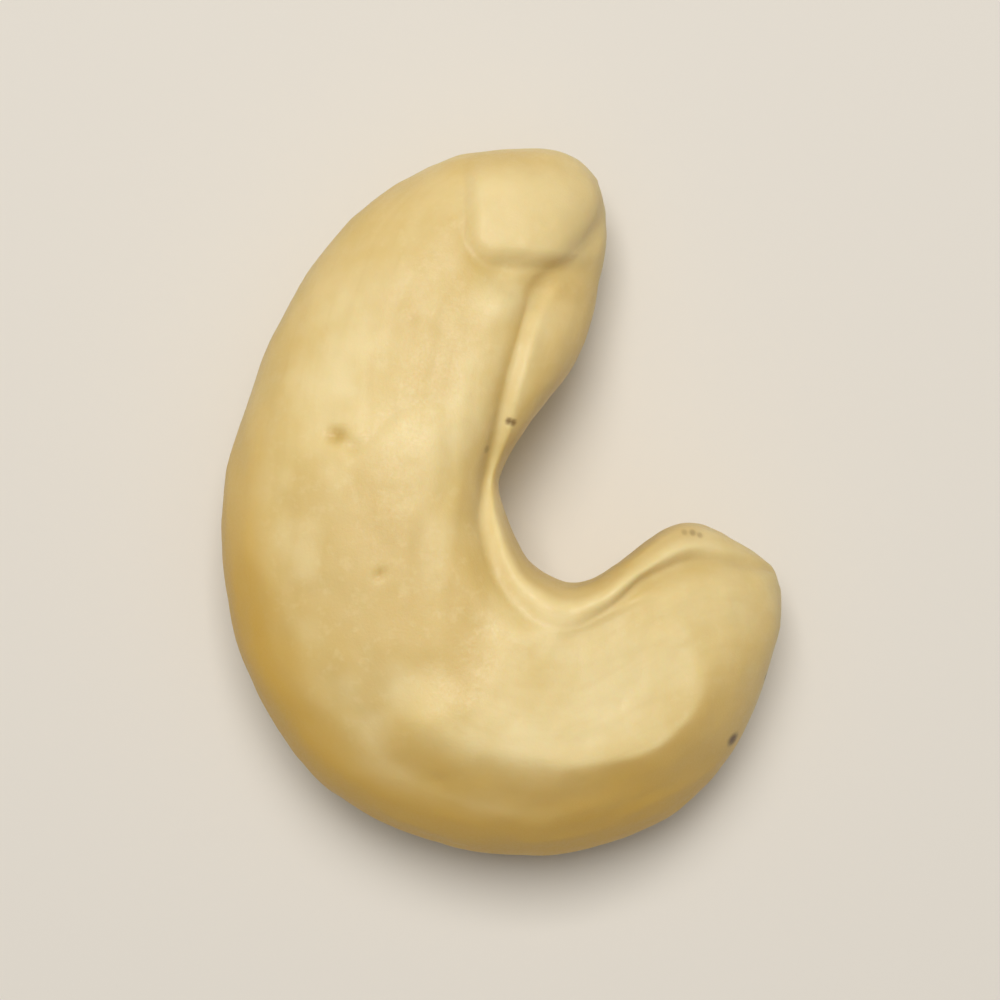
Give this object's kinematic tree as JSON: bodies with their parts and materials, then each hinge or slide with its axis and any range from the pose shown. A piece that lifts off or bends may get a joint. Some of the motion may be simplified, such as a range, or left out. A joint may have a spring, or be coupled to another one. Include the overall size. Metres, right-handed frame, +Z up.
{
  "type": "roasted cashew nut",
  "caption": "Roasted cashew kernel: a hooked, kidney-shaped nut of two joined halves with a seam all round, lying on its side on a small flat spot.",
  "frame": {"origin": "on the resting plane, under the middle of the kernel's box", "axes": "+Z up from the resting plane, +Y along the bend from the lower arm to the upper tip, +X from the convex back towards the open side of the crook"},
  "size_m": [0.0196, 0.0248, 0.0093],
  "materials": {
    "roasted_kernel": "satin, waxy cream with toasted tan patches"
  },
  "bodies": {
    "root": {"cashew_kernel": "roasted_kernel"}
  },
  "joints": []
}
